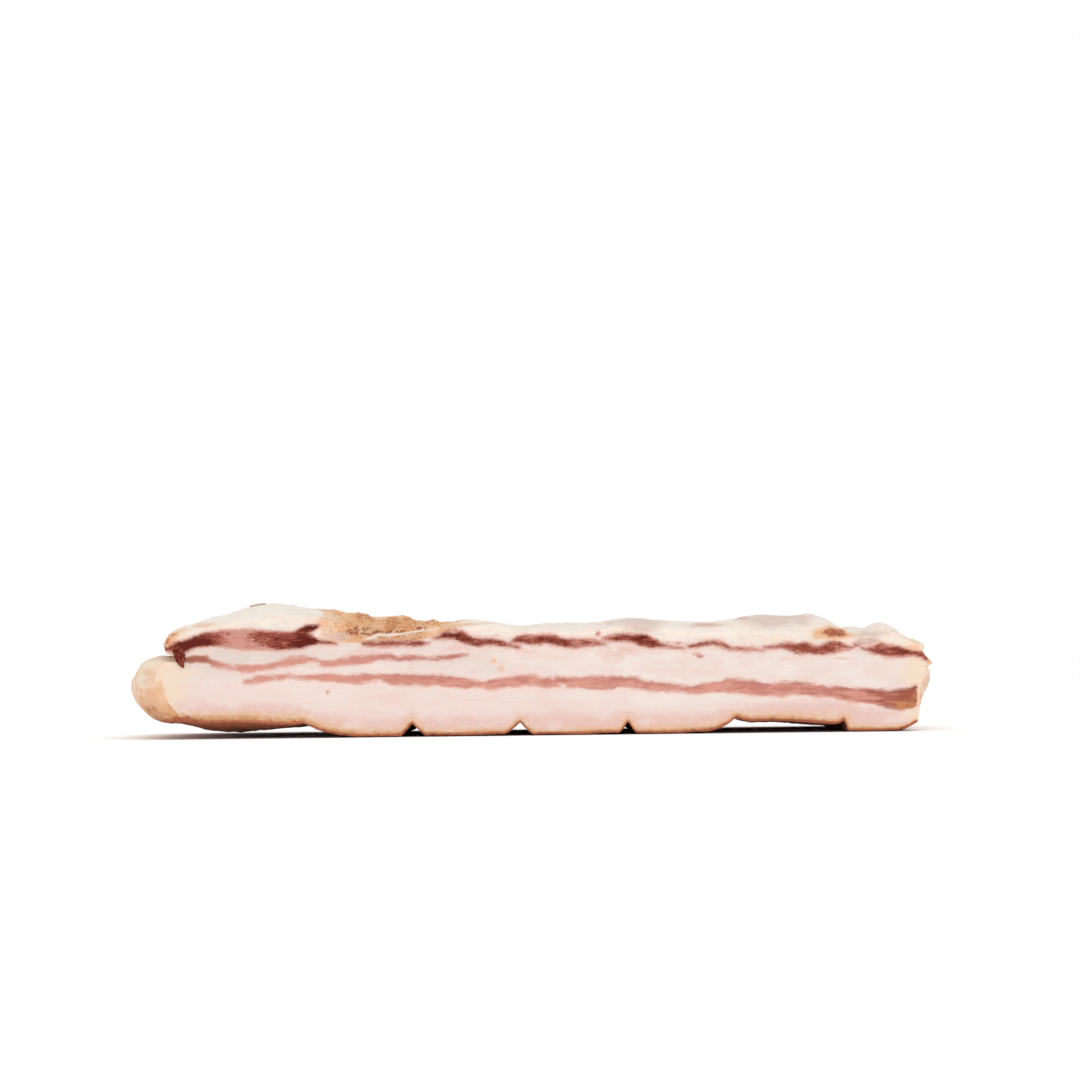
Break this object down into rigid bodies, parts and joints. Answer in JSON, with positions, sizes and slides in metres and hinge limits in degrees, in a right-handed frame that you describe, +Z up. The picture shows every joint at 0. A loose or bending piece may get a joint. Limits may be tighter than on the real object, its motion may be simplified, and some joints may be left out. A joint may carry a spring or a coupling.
{
  "type": "pancetta",
  "caption": "Thick flat slab of cured pork belly cut straight across, with folded rind below, lean layers in white fat and an uneven flesh side on top.",
  "frame": {"origin": "middle of the bounding box at the level that the slab rests on", "axes": "+X along the cut face to its right end, +Y from the front cut to the back cut, +Z up through the thickness"},
  "size_m": [0.3074, 0.14, 0.0504],
  "materials": {
    "pancetta": "satin"
  },
  "bodies": {
    "root": {"pancetta_slab": "pancetta"}
  },
  "joints": []
}
